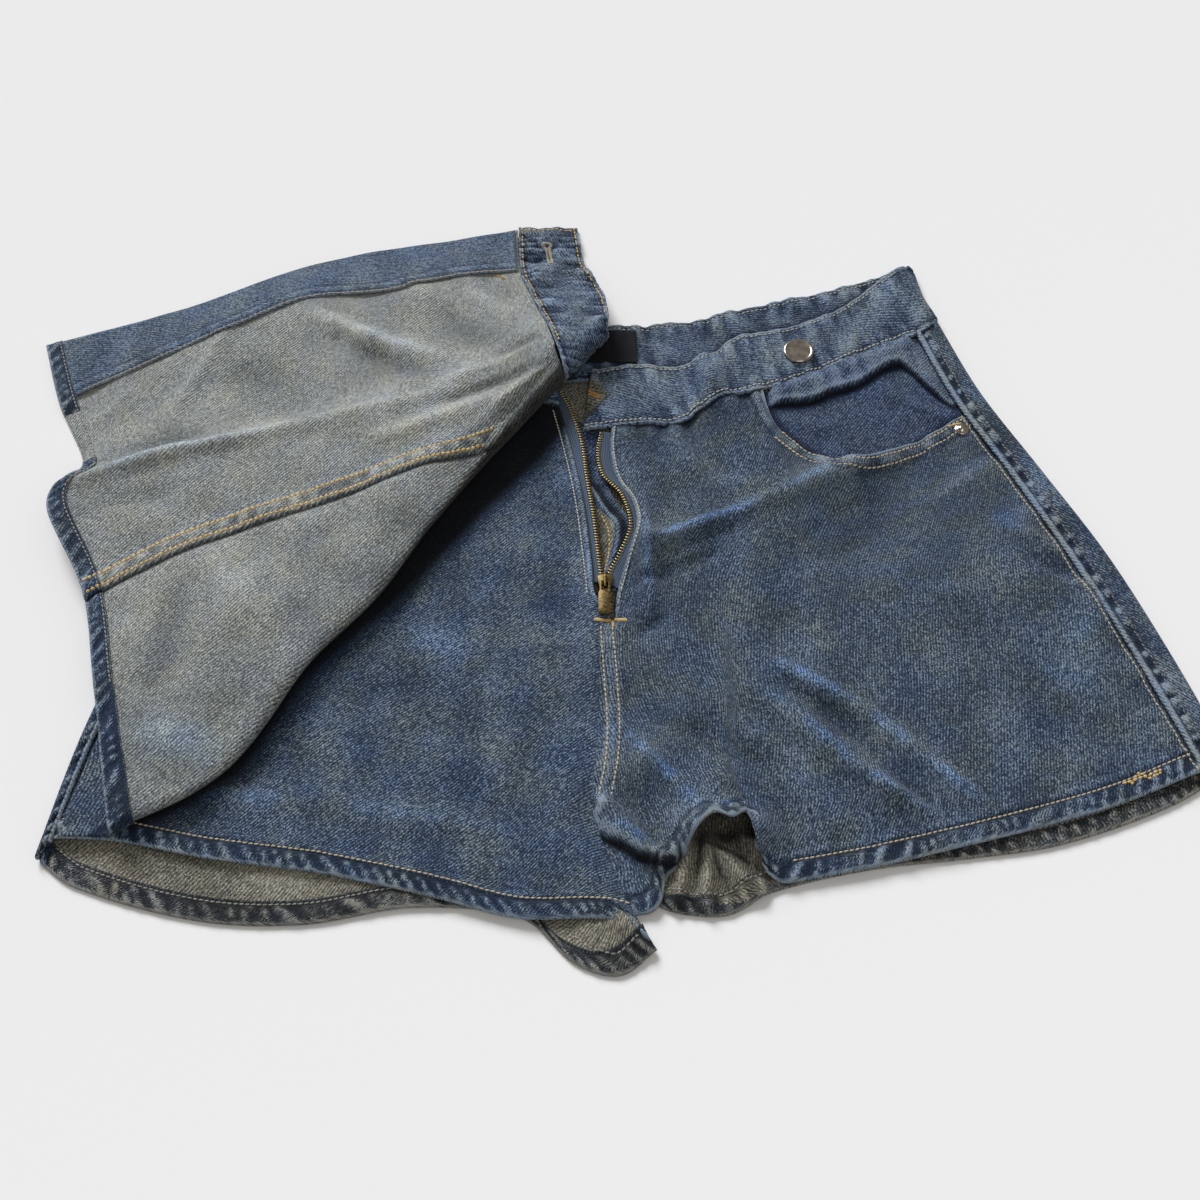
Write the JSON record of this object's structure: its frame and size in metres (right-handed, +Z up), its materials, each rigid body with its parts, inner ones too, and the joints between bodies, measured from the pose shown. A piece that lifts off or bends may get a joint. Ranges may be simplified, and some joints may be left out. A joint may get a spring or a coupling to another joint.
{
  "type": "denim skort laid flat with its front flap open",
  "caption": "Denim skort lying flat: shorts with a zip fly, waistband and scooped pocket, and a wrap flap with a buttonhole tab folded back on itself.",
  "frame": {"origin": "on the ground, under the middle of the whole laid-out garment", "axes": "+X from the flap side to the button side, +Y from the hems to the waist, +Z up"},
  "size_m": [0.6882, 0.5158, 0.0341],
  "materials": {
    "denim_face": "mid blue washed twill, matt",
    "denim_facing": "darker blue washed twill, matt",
    "denim_reverse": "light grey reverse of the twill, matt",
    "zip_tape": "woven tape, matt",
    "zip_teeth": "aged brass, satin",
    "zip_brass": "aged brass, satin",
    "button_metal": "polished light metal, bare",
    "label_cloth": "plain black woven label"
  },
  "bodies": {
    "garment": {"shorts_back_left": "denim_face", "shorts_back_right": "denim_face", "waistband_back": "denim_facing", "shorts_front_left": "denim_face", "shorts_front_right": "denim_face", "waistband_front_right": "denim_face", "waistband_front_left": "denim_face", "pocket_facing": "denim_facing", "zip_tape_left": "zip_tape", "zip_chain_left": "zip_teeth", "zip_tape_right": "zip_tape", "zip_chain_right": "zip_teeth", "fly_shield": "denim_face", "flap_front_panel": "denim_reverse", "flap_side_panel": "denim_reverse", "flap_facing": "denim_facing", "flap_waistband": "denim_facing", "shank_button": "button_metal", "pocket_rivet": "button_metal", "waist_label": "label_cloth", "zip_slider": "zip_brass"},
    "pull": {"zip_pull": "zip_brass"}
  },
  "joints": [
    {"name": "pull_swing", "type": "hinge", "parent": "garment", "child": "pull", "pos_m": [0.00793, -0.02819, 0.0086], "axis": [-1, 0, 0], "range_deg": [0, 165]}
  ]
}
